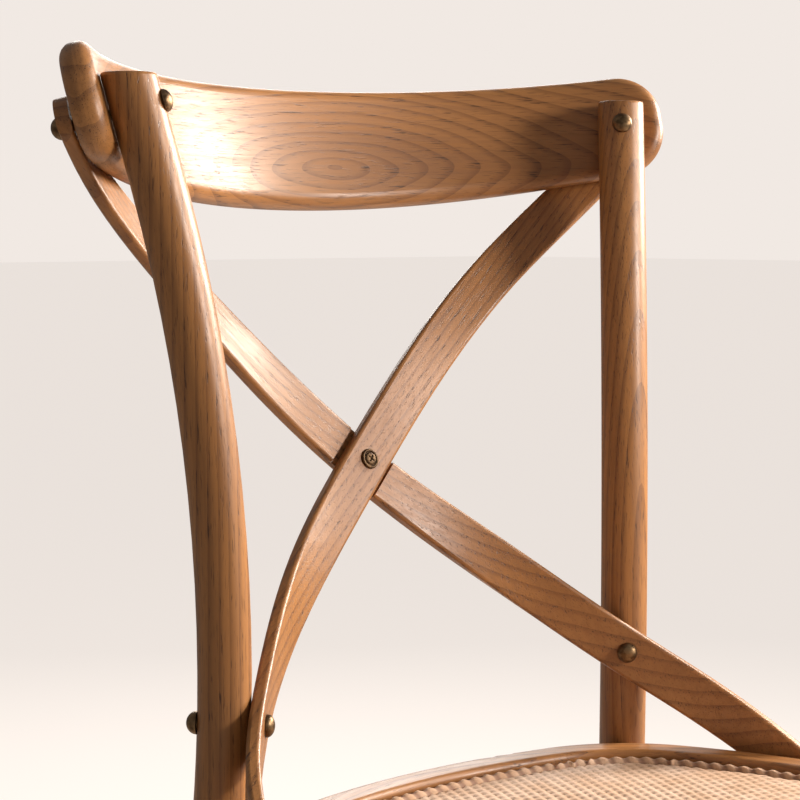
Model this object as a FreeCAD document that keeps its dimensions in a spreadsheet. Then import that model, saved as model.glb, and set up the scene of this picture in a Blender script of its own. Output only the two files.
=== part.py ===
"""Cross back dining chair in bent wood, millimetres.

The origin is on the floor under the middle of the chair. +Z is up, the sitter faces -Y, and right and
left are those of a person who stands in front of the chair and looks at it, so right is +X. Two back
posts of round wood run from the floor to the crest rail. They stand outside the corners of a bent seat
ring. Each post lies in one upright plane, turned by the corner angle, in which it is straight, then
bends back, then is straight again under the crest rail.
"""
import FreeCAD, Part
import math
import os

import Sketcher
from FreeCAD import Placement, Rotation, Vector

SIZES = [
    ("seat_height", "463", "floor to the top of the seat ring"),
    ("ring_height", "38", "seat ring, underside to top"),
    ("ring_width", "26", "seat ring, outside to the seat panel"),
    ("ledge_width", "16", "ledge that carries the seat panel"),
    ("ledge_height", "16", "ledge that carries the seat panel"),
    ("ring_top_round", "9", "round on the ring's top outer edge"),
    ("ring_inner_round", "4", "round on the ring's top inner edge"),
    ("ring_bottom_round", "5", "round on the ring's bottom outer edge"),
    ("seat_rear", "146.4", "rear edge of the ring behind the origin"),
    ("seat_depth", "418", "ring, rear edge to front edge"),
    ("seat_half_width", "220", "half the ring's greatest width"),
    ("seat_widest", "-86.6", "where the ring is widest, behind the origin"),
    ("rear_radius", "450", "outline radius of the ring's rear edge"),
    ("corner_radius", "110", "outline radius of the ring's rear corners"),
    ("corner_centre_out", "83", "centres of the rear corners, beside the origin"),
    ("front_corner_radius", "85", "outline radius of the ring's front corners"),
    ("front_radius", "700", "outline radius of the ring's front edge"),
    ("board_thickness", "9", "plywood seat board"),
    ("mat_thickness", "11", "woven mat in the middle, board to top"),
    ("mat_crown", "4", "rise of the woven mat from its edge to the middle"),
    ("braid_width", "8", "braid round the mat"),
    ("braid_height", "10", "braid round the mat"),
    ("braid_round", "3.6", "round on the braid's top edges"),
    ("panel_gap", "0.5", "gap round the board and the braid"),
    ("corner_angle", "47", "direction of the rear corners, from +X towards +Y"),
    ("post_diameter", "30", "back posts"),
    ("post_top", "880", "floor to the top of the back posts"),
    ("bend_height", "555", "height at which the back posts stand upright"),
    ("bend_radius", "1040", "bend of the back posts"),
    ("leg_lean", "4.5", "lean of the back posts near the floor, degrees"),
    ("post_lean", "15", "lean of the back posts under the crest rail, degrees"),
    ("post_round", "2", "round on the tops of the back posts"),
    ("touch_gap", "0.3", "gap between pieces that rest on each other's curves"),
    ("rail_height", "80", "crest rail, across its face in the middle"),
    ("rail_top_fall", "9.5", "fall of the rail's top edge from the middle to the ends"),
    ("rail_foot_rise", "5.5", "rise of the rail's lower edge from the middle to the ends"),
    ("rail_thickness", "18", "crest rail"),
    ("rail_radius", "295", "plan radius of the crest rail's inner face"),
    ("rail_tilt", "13", "tilt of the crest rail's axis, degrees"),
    ("rail_half_angle", "50.2", "half the angle that the crest rail covers, degrees"),
    ("rail_rise", "9.5", "rail's middle line above the crest bolts"),
    ("rail_corner", "30", "round of the rail's ends in its face"),
    ("rail_edge_round", "8", "round on the rail's long edges"),
    ("slat_width", "30", "cross slats"),
    ("slat_thickness", "8", "cross slats"),
    ("slat_edge_round", "2.2", "round on the slats' long edges"),
    ("slat_end_margin", "16", "slat beyond its end fasteners"),
    ("cross_height", "651", "floor to the crossing of the slats"),
    ("cross_back", "185.9", "crossing of the slats behind the origin"),
    ("lap_depth", "2.2", "housing in the rear slat at the crossing"),
    ("lap_margin", "3.5", "housing beyond the front slat's edges"),
    ("upper_bow_out", "132", "slat route between crest and crossing, sideways"),
    ("upper_bow_back", "200.4", "slat route between crest and crossing, behind the origin"),
    ("upper_bow_height", "767", "slat route between crest and crossing, height"),
    ("lower_bow_out", "90", "slat route between crossing and post, sideways"),
    ("lower_bow_back", "146.4", "slat route between crossing and post, behind the origin"),
    ("lower_bow_height", "577", "slat route between crossing and post, height"),
    ("slat_foot_height", "447", "slat screws in the ring's side, above the floor"),
    ("slat_crest_gap", "1.2", "gap between the slats and the rail's back at the crest bolts"),
    ("slat_foot_gap", "0.8", "gap between the slats' feet and the ring"),
    ("slat_foot_angle", "14", "slat screws in the ring's side, degrees round its side arc"),
    ("crest_bolt_height", "861", "crest bolts on the post's centre line"),
    ("slat_bolt_height", "524", "slat bolts on the post's centre line"),
    ("seat_bolt_height", "433", "bolts that hold the posts to the ring"),
    ("bolt_diameter", "6", "bolts"),
    ("bolt_head_diameter", "13", "domed bolt heads and cap nuts"),
    ("bolt_head_height", "4.5", "domed bolt heads"),
    ("slat_head_gap", "0.5", "gap between the slats' twisted faces and bolt heads"),
    ("nut_height", "6", "cap nuts"),
    ("nut_bore_depth", "3.6", "bolt holes of the cap nuts"),
    ("bolt_grip", "3", "bolts inside the cap nuts"),
    ("sleeve_diameter", "8", "sleeve of the nut at the crossing"),
    ("cross_head_height", "2.4", "flat heads at the crossing"),
    ("cross_head_top", "10.4", "flat heads at the crossing, across their tops"),
    ("washer_diameter", "14", "washers under the seat bolt nuts"),
    ("washer_thickness", "1.5", "washers under the seat bolt nuts"),
    ("hex_nut_width", "10", "hexagon nuts of the seat bolts, across flats"),
    ("hex_nut_height", "5", "hexagon nuts of the seat bolts"),
    ("seat_bolt_tail", "1", "seat bolts beyond their nuts"),
    ("hole_gap", "0.2", "gap round every fastener in its hole"),
    ("screw_diameter", "4", "wood screws"),
    ("screw_head_diameter", "9", "wood screw heads"),
    ("screw_head_height", "2.5", "wood screw heads"),
    ("slat_screw_length", "30", "wood screws in the slats' lower ends"),
    ("front_leg_top_diameter", "32", "front legs under the ring"),
    ("front_leg_foot_diameter", "26", "front legs at the floor"),
    ("front_leg_inset", "16", "front leg centres inside the ring's outline"),
    ("front_leg_direction", "-60", "direction of the front legs from the corner's centre, degrees"),
    ("front_leg_splay", "22", "front feet outside the tops of the front legs"),
    ("tenon_diameter", "16", "front legs in the ring"),
    ("tenon_length", "22", "front legs in the ring"),
    ("arch_diameter", "18", "bent braces between the legs"),
    ("arch_bend_radius", "90", "bent braces between the legs"),
    ("cross_arch_height", "250", "end screws of the front and rear braces"),
    ("side_arch_height", "222", "end screws of the side braces"),
    ("arch_tail", "26", "braces below their end screws"),
    ("arch_screw_depth", "12", "end screws inside the braces"),
    ("arch_top_screw_half_spacing", "28", "screws from the braces up into the ring"),
    ("arch_top_screw_depth", "13", "screws from the braces, inside the ring"),
    ("board_screw_angle", "8", "screws into the seat board, degrees round the ring's side arc"),
    ("board_screw_depth", "6", "screws from the ledge, inside the board"),
    ("glide_diameter", "21", "glides under the feet"),
    ("glide_height", "4", "glides under the feet"),
    ("glide_pin_diameter", "3", "pins of the glides"),
    ("glide_pin_length", "12", "pins of the glides"),
    ("slat_stations", "25", "sections along each slat"),
]

doc = FreeCAD.newDocument("cross_back_chair")
sheet = doc.addObject("Spreadsheet::Sheet", "sizes")
for row, (alias, value, note) in enumerate(SIZES, start=1):
    sheet.set(f"A{row}", alias)
    sheet.set(f"B{row}", value)
    sheet.set(f"C{row}", note)
    sheet.setAlias(f"B{row}", alias)
doc.recompute()
nodes = []


def mm(alias):
    """Value of a driving dimension."""
    return float(sheet.get(alias))


def rad(alias):
    """Value of a driving angle in radians."""
    return math.radians(mm(alias))


def label(obj, name):
    """Names a finished sub-part and lists it for export."""
    obj.Label = name
    nodes.append(obj)
    return obj


def unit(vector):
    """Copy of a vector with length one."""
    return Vector(vector).normalize()


def along(origin, direction):
    """Placement whose Z axis points along a direction."""
    return Placement(origin, Rotation(Vector(0, 0, 1), direction))


def origin_plane(body, role):
    """One of a body's own origin planes."""
    for feature in body.Origin.OriginFeatures:
        if feature.Role == role:
            return feature


def add_sketch(body, name, role, offset=None):
    """Sketch on one of the body's origin planes, moved by an offset."""
    sketch = body.newObject("Sketcher::SketchObject", name)
    sketch.AttachmentSupport = [(origin_plane(body, role), "")]
    sketch.MapMode = "FlatFace"
    if offset:
        sketch.AttachmentOffset = offset
    return sketch


def add_circle(sketch, alias):
    """Circle round the sketch's origin whose diameter follows a driving dimension."""
    index = sketch.addGeometry(Part.Circle(Vector(), Vector(0, 0, 1), mm(alias) / 2), False)
    sketch.addConstraint(Sketcher.Constraint("Coincident", index, 3, -1, 1))
    diameter = sketch.addConstraint(Sketcher.Constraint("Diameter", index, mm(alias)))
    sketch.setExpression(f"Constraints[{diameter}]", f"sizes.{alias}")


def add_polygon(sketch, corners):
    """Closed outline of straight lines."""
    for start, end in zip(corners, corners[1:] + corners[:1]):
        sketch.addGeometry(Part.LineSegment(start, end), False)


def drill(name, blank, holes):
    """Cuts holes from a blank. A hole is its start, its direction, its length and its diameter's formula."""
    cut = doc.addObject("Part::Cut", name)
    tools = []
    for number, (start, direction, length, formula) in enumerate(holes, start=1):
        tool = doc.addObject("Part::Cylinder", f"{name}_hole_{number}")
        tool.setExpression("Radius", f"({formula}) / 2")
        tool.Height = length
        tool.Placement = along(start, direction)
        tools.append(tool)
    group = doc.addObject("Part::Compound", f"{name}_holes")
    group.Links = tools
    cut.Base = blank
    cut.Tool = group
    return label(cut, name)


BOLT_HOLE = "sizes.bolt_diameter + 2 * sizes.hole_gap"
SCREW_HOLE = "sizes.screw_diameter + 2 * sizes.hole_gap"
SLEEVE_HOLE = "sizes.sleeve_diameter + 2 * sizes.hole_gap"
PIN_HOLE = "sizes.glide_pin_diameter + 2 * sizes.hole_gap"
TENON_HOLE = "sizes.tenon_diameter + 2 * sizes.hole_gap"
HOLE_LEAD = 1
SWEEP_TOLERANCE = 0.01
UP = Vector(0, 0, 1)
RING_BOTTOM = mm("seat_height") - mm("ring_height")
LEDGE_TOP = RING_BOTTOM + mm("ledge_height")
BOARD_TOP = LEDGE_TOP + mm("board_thickness")
POST_RADIUS = mm("post_diameter") / 2
SIDES = {"right": 1, "left": -1}


def check_sweep(swept, area, length):
    """Stops when a swept volume isn't its section's area times its path's length."""
    if abs(swept.Volume / (area * length) - 1) > SWEEP_TOLERANCE:
        raise RuntimeError(f"a sweep of {length:.1f} mm holds {swept.Volume:.0f} cubic mm")


# Seat ring outline: arcs that run into each other, worked out from their radii

def circle_meeting(centre_a, radius_a, centre_b, radius_b):
    """Right hand meeting point of two circles."""
    line = centre_b - centre_a
    share = (radius_a ** 2 - radius_b ** 2 + line.Length ** 2) / (2 * line.Length)
    reach = math.sqrt(radius_a ** 2 - share ** 2)
    foot = centre_a + unit(line) * share
    across = unit(Vector(line.y, -line.x, 0)) * reach
    return max((foot + across, foot - across), key=lambda point: point.x)


def outline_arcs():
    """Centres and radii of the outline's arcs: rear, rear corner, side, front corner, front."""
    rear = Vector(0, mm("seat_rear") - mm("rear_radius"), 0)
    reach = mm("rear_radius") - mm("corner_radius")
    out = mm("corner_centre_out")
    corner = Vector(out, rear.y + math.sqrt(reach ** 2 - out ** 2), 0)
    gap = mm("seat_half_width") - mm("corner_radius") - out
    rise = corner.y - mm("seat_widest")
    side_radius = mm("corner_radius") + (rise ** 2 + gap ** 2) / (2 * gap)
    side = Vector(mm("seat_half_width") - side_radius, mm("seat_widest"), 0)
    front = Vector(0, mm("seat_rear") - mm("seat_depth") + mm("front_radius"), 0)
    front_corner = circle_meeting(side, side_radius - mm("front_corner_radius"),
                                  front, mm("front_radius") - mm("front_corner_radius"))
    return [(rear, mm("rear_radius")), (corner, mm("corner_radius")), (side, side_radius),
            (front_corner, mm("front_corner_radius")), (front, mm("front_radius"))]


ARCS = outline_arcs()
CORNER_CENTRE = ARCS[1][0]
SIDE_CENTRE, SIDE_RADIUS = ARCS[2]
FRONT_CORNER_CENTRE = ARCS[3][0]


def mirrored(point, side):
    """The point itself for side 1, its mirror image for side -1."""
    return Vector(side * point.x, point.y, point.z)


def outline_edges(inset):
    """Arcs of the ring's outline, drawn in by an inset, as circle pieces for a sketch."""
    joints = []
    for (centre, radius), (next_centre, next_radius) in zip(ARCS, ARCS[1:]):
        big, small, big_radius = (centre, next_centre, radius)
        if next_radius > radius:
            big, small, big_radius = (next_centre, centre, next_radius)
        joints.append(big + unit(small - big) * (big_radius - inset))
    edges = []
    for side in SIDES.values():
        for (centre, radius), start, end in zip(ARCS[1:4], joints, joints[1:]):
            edges.append((mirrored(centre, side), radius - inset, mirrored(start, side),
                          mirrored(end, side)))
    for (centre, radius), joint in ((ARCS[0], joints[0]), (ARCS[4], joints[-1])):
        edges.append((centre, radius - inset, joint, mirrored(joint, -1)))
    return edges


def add_outline(sketch, inset):
    """Draws the ring's outline into a sketch."""
    for centre, radius, start, end in outline_edges(inset):
        turns = sorted(math.atan2(point.y - centre.y, point.x - centre.x) for point in (start, end))
        if turns[1] - turns[0] > math.pi:
            turns = [turns[1], turns[0] + 2 * math.pi]
        circle = Part.Circle(Vector(centre.x, centre.y, 0), UP, radius)
        sketch.addGeometry(Part.ArcOfCircle(circle, turns[0], turns[1]), False)


# Back posts: where their centre lines run

def post_offset(height):
    """Outward offset and lean of a post's centre line at a height, from its upright point."""
    radius = mm("bend_radius")
    low, high = rad("leg_lean"), rad("post_lean")
    bend_start = mm("bend_height") - radius * math.sin(low)
    bend_end = mm("bend_height") + radius * math.sin(high)
    if height < bend_start:
        return radius * (1 - math.cos(low)) + (bend_start - height) * math.tan(low), -low
    if height > bend_end:
        return radius * (1 - math.cos(high)) + (height - bend_end) * math.tan(high), high
    lean = math.asin((height - mm("bend_height")) / radius)
    return radius * (1 - math.cos(lean)), lean


def corner_direction(side):
    """Level direction out of the seat's rear corner."""
    return Vector(side * math.cos(rad("corner_angle")), math.sin(rad("corner_angle")), 0)


def post_origin(side):
    """Floor point below the upright point of a post: the post touches the ring below its top round."""
    touch_offset = post_offset(mm("seat_height") - mm("ring_top_round"))[0]
    reach = mm("corner_radius") + mm("touch_gap") + POST_RADIUS - touch_offset
    return mirrored(CORNER_CENTRE, side) + corner_direction(side) * reach


def post_centre(side, height):
    """Point on a post's centre line."""
    point = post_origin(side) + corner_direction(side) * post_offset(height)[0]
    return Vector(point.x, point.y, height)


def post_outward(side, height):
    """Direction out of a post, square to its centre line, in its bend plane."""
    lean = post_offset(height)[1]
    level = corner_direction(side)
    return Vector(level.x * math.cos(lean), level.y * math.cos(lean), -math.sin(lean))


def post_upward(side, height):
    """Direction of a post's centre line."""
    lean = post_offset(height)[1]
    level = corner_direction(side)
    return Vector(level.x * math.sin(lean), level.y * math.sin(lean), math.cos(lean))


def post_blank(name, side):
    """Round rod bent in one plane, cut level at the floor glide and at the top."""
    body = doc.addObject("PartDesign::Body", f"{name}_blank")
    radius = mm("bend_radius")
    low, high = rad("leg_lean"), rad("post_lean")
    bend_centre = Vector(radius, mm("bend_height"), 0)
    bend_start = bend_centre + Vector(-math.cos(low), -math.sin(low), 0) * radius
    bend_end = bend_centre + Vector(-math.cos(high), math.sin(high), 0) * radius
    spare = mm("post_diameter")
    foot = Vector(post_offset(-spare)[0], -spare, 0)
    head = Vector(post_offset(mm("post_top") + spare)[0], mm("post_top") + spare, 0)
    path = add_sketch(body, f"{name}_path", "XZ_Plane")
    path.addGeometry(Part.LineSegment(foot, bend_start), False)
    bend = Part.Circle(bend_centre, UP, radius)
    path.addGeometry(Part.ArcOfCircle(bend, math.pi - high, math.pi + low), False)
    path.addGeometry(Part.LineSegment(bend_end, head), False)
    lean = Rotation(Vector(0, 1, 0), -mm("leg_lean"))
    section = add_sketch(body, f"{name}_section", "XY_Plane", Placement(Vector(foot.x, 0, foot.y), lean))
    add_circle(section, "post_diameter")
    rod = body.newObject("PartDesign::AdditivePipe", f"{name}_rod")
    rod.Profile = section
    rod.Spine = path
    doc.recompute()
    check_sweep(rod.Shape, math.pi * POST_RADIUS ** 2, path.Shape.Length)
    reach = mm("bend_radius")
    for end, alias, upward in (("head", "post_top", True), ("foot", "glide_height", False)):
        plate = add_sketch(body, f"{name}_{end}_cut", "XY_Plane")
        plate.setExpression("AttachmentOffset.Base.z", f"sizes.{alias}")
        add_polygon(plate, [Vector(x, y, 0) for x, y in ((-reach, -reach), (reach, -reach), (reach, reach),
                                                         (-reach, reach))])
        trim = body.newObject("PartDesign::Pocket", f"{name}_{end}_trim")
        trim.Profile = plate
        trim.setExpression("Length", "3 * sizes.post_diameter")
        trim.Reversed = upward
    doc.recompute()
    top_edges = edges_at(trim.Shape, lambda edge: edge.BoundBox.ZMin > mm("post_top") - 0.01)
    rounding = body.newObject("PartDesign::Fillet", f"{name}_round")
    rounding.Base = (trim, top_edges)
    rounding.setExpression("Radius", "sizes.post_round")
    turn = mm("corner_angle") if side > 0 else 180 - mm("corner_angle")
    body.Placement = Placement(post_origin(side), Rotation(UP, turn))
    return body


def edges_at(shape, wanted):
    """Names of the edges that pass a test."""
    return [f"Edge{number}" for number, edge in enumerate(shape.Edges, start=1) if wanted(edge)]


# Crest rail: a bent board whose face follows the lean of the posts

CREST = mm("crest_bolt_height")


def crest_frame():
    """Placement of the rail's axis, level with the crest bolts at the posts, and the lean of its face."""
    tilt = rad("rail_tilt")
    post = post_centre(1, CREST)
    upward = post_upward(1, CREST)
    y_axis = Vector(0, math.cos(tilt), -math.sin(tilt))
    z_axis = Vector(0, math.sin(tilt), math.cos(tilt))
    lean = rad("post_lean") - tilt
    for refinement in range(3):
        reach = mm("rail_radius") - (POST_RADIUS + mm("touch_gap")) / math.cos(lean)
        back = math.sqrt(reach ** 2 - post.x ** 2)
        outward = (post.x * upward.x + back * upward.dot(y_axis)) / reach
        lean = math.atan2(outward, upward.dot(z_axis))
    origin = Vector(0, post.y, post.z) - y_axis * back
    return Placement(origin, Rotation(Vector(1, 0, 0), -mm("rail_tilt"))), lean


def rail_section(lean):
    """Directions up and out in the rail's section, whose X is the distance from the rail's axis."""
    up = Vector(math.sin(lean), math.cos(lean), 0)
    return up, Vector(up.y, -up.x, 0)


def crest_outward(side):
    """Direction of a crest bolt: square to the post and to the rail's face."""
    placement, lean = crest_frame()
    up, out = rail_section(lean)
    local = placement.inverse().multVec(post_centre(1, CREST))
    radial = unit(Vector(local.x, local.y, 0))
    return mirrored(placement.Rotation.multVec(radial * out.x + UP * out.y), side)


def rail_trim(body, name, apex, fall, side):
    """Cuts one long edge of the rail to a flat arc that moves towards the rail's middle at its ends."""
    span = (mm("rail_radius") + mm("rail_thickness")) * math.sin(rad("rail_half_angle"))
    past = 1 + mm("rail_thickness") / span
    end = Vector(span * past, apex - side * past ** 2 * fall, 0)
    far = Vector(span * past, apex + side * mm("rail_height"), 0)
    sketch = add_sketch(body, f"{name}_line", "XZ_Plane")
    sketch.addGeometry(Part.Arc(end, Vector(0, apex, 0), mirrored(end, -1)), False)
    for start, stop in ((end, far), (far, mirrored(far, -1)), (mirrored(far, -1), mirrored(end, -1))):
        sketch.addGeometry(Part.LineSegment(start, stop), False)
    trim = body.newObject("PartDesign::Pocket", name)
    trim.Profile = sketch
    trim.setExpression("Length", "2 * sizes.rail_radius")
    return trim


def crest_rail():
    """Board bent to an arc, cut to a gentle curve along both long edges, with rounded ends and edges."""
    body = doc.addObject("PartDesign::Body", "crest_rail_blank")
    placement, lean = crest_frame()
    up, out = rail_section(lean)
    low = up * (mm("rail_rise") - mm("rail_height") / 2)
    high = up * (mm("rail_rise") + mm("rail_height") / 2)
    spare = up * (mm("rail_thickness") / 2)
    inner = Vector(mm("rail_radius"), 0, 0)
    outer = inner + out * mm("rail_thickness")
    middle = (inner + outer) / 2
    section = add_sketch(body, "crest_rail_section", "YZ_Plane")
    add_polygon(section, [inner + low - spare, outer + low - spare,
                          outer + high + spare, inner + high + spare])
    bend = body.newObject("PartDesign::Revolution", "crest_rail_bend")
    bend.Profile = section
    bend.ReferenceAxis = (section, ["V_Axis"])
    bend.Midplane = True
    bend.setExpression("Angle", "2 * sizes.rail_half_angle")
    rail_trim(body, "crest_rail_top", (middle + high).y, mm("rail_top_fall"), 1)
    trim = rail_trim(body, "crest_rail_foot", (middle + low).y, mm("rail_foot_rise"), -1)
    doc.recompute()

    def crosses(edge):
        return len(edge.Vertexes) == 2 and edge.Length < mm("rail_height") / 3

    corners = body.newObject("PartDesign::Fillet", "crest_rail_corners")
    corners.Base = (trim, edges_at(trim.Shape, crosses))
    corners.setExpression("Radius", "sizes.rail_corner")
    doc.recompute()
    edges = body.newObject("PartDesign::Fillet", "crest_rail_edges")
    edges.Base = (corners, edges_at(corners.Shape, lambda edge: edge.Length > mm("rail_height")))
    edges.setExpression("Radius", "sizes.rail_edge_round")
    body.Placement = placement
    holes = []
    for side in SIDES.values():
        outward = crest_outward(side)
        holes.append((post_centre(side, CREST), outward, 4 * mm("rail_thickness"), BOLT_HOLE))
    return drill("crest_rail", body, holes)


# Cross slats: bent strips that share one route, mirrored, and part where they cross

SLAT_FACE = POST_RADIUS + mm("touch_gap") + mm("slat_thickness") / 2
SLAT_CREST = SLAT_FACE + mm("rail_thickness") + mm("slat_crest_gap")
CROSSING, POST_BOLT = 2, 4


def ring_side_point(angle, height, gap=0.0):
    """Point outside the ring's right side, by its angle round the side arc, and its outward direction."""
    turn = math.radians(angle)
    outward = Vector(math.cos(turn), math.sin(turn), 0)
    point = SIDE_CENTRE + outward * (SIDE_RADIUS + gap)
    return Vector(point.x, point.y, height), outward


def slat_spline(keys, crossing_run=None):
    """Spline through route points. Its ends run along the faces there."""
    points = [point for point, face in keys]
    start = in_face(points[1] - points[0], keys[0][1])
    end = in_face(points[-1] - points[-2], keys[-1][1])
    runs = [start] + [Vector()] * (len(points) - 2) + [end]
    if crossing_run:
        runs[CROSSING] = crossing_run
    curve = Part.BSplineCurve()
    curve.interpolate(Points=points, Tangents=runs, TangentFlags=[run.Length > 0 for run in runs])
    return curve


def in_face(direction, face):
    """Direction laid flat on a face."""
    return unit(direction - face * direction.dot(face))


def slat_route(side, shift):
    """Spline of a slat's centre line and its route points with their faces.

    The route starts at the crest on the other side. Where the slats cross, their faces are square to
    both routes, and a shift moves a slat off the middle of the crossing.
    """
    crest = crest_outward(-side)
    post = post_outward(side, mm("slat_bolt_height"))
    foot, foot_out = ring_side_point(mm("slat_foot_angle"), mm("slat_foot_height"),
                                     mm("slat_thickness") / 2 + mm("slat_foot_gap"))
    crossing = Vector(0, mm("cross_back"), mm("cross_height"))
    keys = [
        (post_centre(-side, CREST) + crest * SLAT_CREST, crest),
        (Vector(-side * mm("upper_bow_out"), mm("upper_bow_back"), mm("upper_bow_height")), None),
        (crossing, None),
        (Vector(side * mm("lower_bow_out"), mm("lower_bow_back"), mm("lower_bow_height")), None),
        (post_centre(side, mm("slat_bolt_height")) - post * SLAT_FACE, post),
        (mirrored(foot, side), mirrored(foot_out, side)),
    ]
    plain = slat_spline(keys)
    run = unit(plain.tangent(plain.parameter(crossing))[0])
    back = unit(Vector(0, -run.z, run.y))
    keys[CROSSING] = (crossing + back * shift, back)
    return slat_spline(keys, run), keys


def slat_station(curve, keys, value):
    """Placement of a section: Z along the slat, Y out of its back face, X across its width."""
    marks = [(curve.parameter(point), face) for point, face in keys if face]
    low, high = [pair for pair in zip(marks, marks[1:]) if pair[0][0] <= value + 1e-6][-1]
    share = min((value - low[0]) / (high[0] - low[0]), 1.0)
    share = share * share * (3 - 2 * share)
    face = low[1] * (1 - share) + high[1] * share
    tangent = unit(curve.tangent(value)[0])
    face = unit(face - tangent * face.dot(tangent))
    return Placement(curve.value(value), Rotation(face.cross(tangent), face, tangent, "ZYX"))


def slat_section(placement):
    """Rounded rectangle across the slat."""
    half_width = mm("slat_width") / 2
    half_depth = mm("slat_thickness") / 2
    corner = mm("slat_edge_round")
    diagonal = corner * (1 - math.sqrt(0.5))
    edges = []
    for number, (across, through) in enumerate(((1, 1), (-1, 1), (-1, -1), (1, -1))):
        flat = Vector(across * (half_width - corner), through * half_depth, 0)
        steep = Vector(across * half_width, through * (half_depth - corner), 0)
        middle = Vector(across * (half_width - diagonal), through * (half_depth - diagonal), 0)
        start, end = (steep, flat) if number % 2 == 0 else (flat, steep)
        if edges:
            edges.append(Part.LineSegment(last, start).toShape())
        edges.append(Part.Arc(start, middle, end).toShape())
        last = end
    edges.append(Part.LineSegment(last, edges[0].Vertexes[0].Point).toShape())
    wire = Part.Wire(edges)
    wire.Placement = placement
    return wire


def end_cutter(name, placement, direction):
    """What a slat loses where its end is rounded about its fastener."""
    block = doc.addObject("Part::Box", f"{name}_block")
    disc = doc.addObject("Part::Cylinder", f"{name}_disc")
    cutter = doc.addObject("Part::Cut", name)
    block.setExpression("Length", "4 * sizes.slat_end_margin")
    block.setExpression("Width", "4 * sizes.slat_end_margin")
    block.setExpression("Height", "4 * sizes.slat_end_margin")
    disc.setExpression("Radius", "sizes.slat_end_margin")
    disc.setExpression("Height", "4 * sizes.slat_end_margin")
    margin = 2 * mm("slat_end_margin")
    lift = 0 if direction > 0 else -2 * margin
    block.Placement = placement.multiply(Placement(Vector(-margin, -margin, lift), Rotation()))
    disc.Placement = placement.multiply(Placement(Vector(0, -margin, 0), Rotation(Vector(1, 0, 0), -90)))
    cutter.Base = block
    cutter.Tool = disc
    return cutter


def slat_shift():
    """Half the distance between the slats' centre lines at the crossing."""
    return (mm("slat_thickness") - mm("lap_depth") + mm("touch_gap")) / 2


def crossing_axis():
    """Middle of the crossing and the direction out of its back."""
    curve, keys = slat_route(1, 0)
    return keys[CROSSING]


def cross_slat(name, side, shift):
    """Bent strip from the crest rail on one side to the seat ring on the other."""
    curve, keys = slat_route(side, shift)
    first = slat_station(curve, keys, curve.FirstParameter)
    last = slat_station(curve, keys, curve.LastParameter)
    margin = mm("slat_end_margin")
    count = int(mm("slat_stations"))
    span = curve.LastParameter - curve.FirstParameter
    values = [curve.FirstParameter + span * number / (count - 1) for number in range(count)]
    sections = [first.multiply(Placement(Vector(0, 0, -margin), Rotation()))]
    sections += [slat_station(curve, keys, value) for value in values]
    sections.append(last.multiply(Placement(Vector(0, 0, margin), Rotation())))
    strip = doc.addObject("Part::Feature", f"{name}_strip")
    strip.Shape = Part.makeLoft([slat_section(section) for section in sections], True, False)
    area = Part.Face(slat_section(first)).Area
    check_sweep(strip.Shape, area, curve.length() + 2 * margin)
    tools = [end_cutter(f"{name}_upper_end", first, -1), end_cutter(f"{name}_lower_end", last, 1)]
    if shift > 0:
        tools.append(housing(name, shift))
    rounding = doc.addObject("Part::MultiFuse", f"{name}_cutters")
    rounding.Shapes = tools
    blank = doc.addObject("Part::Cut", f"{name}_blank")
    blank.Base = strip
    blank.Tool = rounding
    reach = 2 * mm("slat_thickness")
    middle, back = crossing_axis()
    bolt_out = post_outward(side, mm("slat_bolt_height"))
    foot, foot_out = keys[-1]
    crest, crest_out = keys[0]
    holes = [
        (crest - crest_out * reach, crest_out, 2 * reach, BOLT_HOLE),
        (middle + back * (shift - reach), back, 2 * reach, SLEEVE_HOLE),
        (keys[POST_BOLT][0] - bolt_out * reach, bolt_out, 2 * reach, BOLT_HOLE),
        (foot - foot_out * reach, foot_out, 2 * reach, SCREW_HOLE),
    ]
    return drill(name, blank, holes)


def housing(name, shift):
    """Shallow notch across the rear slat that takes the front slat."""
    middle, back = crossing_axis()
    curve, keys = slat_route(-1, -shift)
    run = curve.tangent(curve.parameter(keys[CROSSING][0]))[0]
    block = doc.addObject("Part::Box", f"{name}_housing")
    block.setExpression("Length", "sizes.slat_width + 2 * sizes.lap_margin")
    block.setExpression("Width", "sizes.slat_thickness + sizes.lap_depth")
    block.setExpression("Height", "4 * sizes.slat_width")
    corner = Vector(-mm("slat_width") / 2 - mm("lap_margin"),
                    -3 * mm("slat_thickness") / 2, -2 * mm("slat_width"))
    face = Placement(middle + back * shift, Rotation(back.cross(run), back, unit(run), "ZYX"))
    block.Placement = face.multiply(Placement(corner, Rotation()))
    return block


# Seat: the ring with its ledge, a plywood board, a woven mat and the braid round it

def outline_pad(body, name, inset, base, height, holes=False):
    """Pad or pocket over the ring's outline, drawn in by an inset."""
    sketch = add_sketch(body, f"{name}_outline", "XY_Plane", Placement(Vector(0, 0, base), Rotation()))
    add_outline(sketch, inset)
    feature = body.newObject("PartDesign::Pocket" if holes else "PartDesign::Pad", name)
    feature.Profile = sketch
    feature.setExpression("Length", height)
    feature.Reversed = holes
    return feature


def round_edges(body, base, name, alias, height, size_test):
    """Rounds the edges of a feature that lie at one height."""
    doc.recompute()

    def wanted(edge):
        box = edge.BoundBox
        return abs(box.ZMin - height) < 0.01 and abs(box.ZMax - height) < 0.01 and size_test(edge)

    rounding = body.newObject("PartDesign::Fillet", name)
    rounding.Base = (base, edges_at(base.Shape, wanted))
    rounding.setExpression("Radius", f"sizes.{alias}")
    return rounding


def on_outline(inset):
    """Test for edges that lie on the outline drawn in by an inset."""
    wanted = {round(radius, 3) for centre, radius, start, end in outline_edges(inset)}
    return lambda edge: round(edge.Curve.Radius, 3) in wanted


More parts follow.
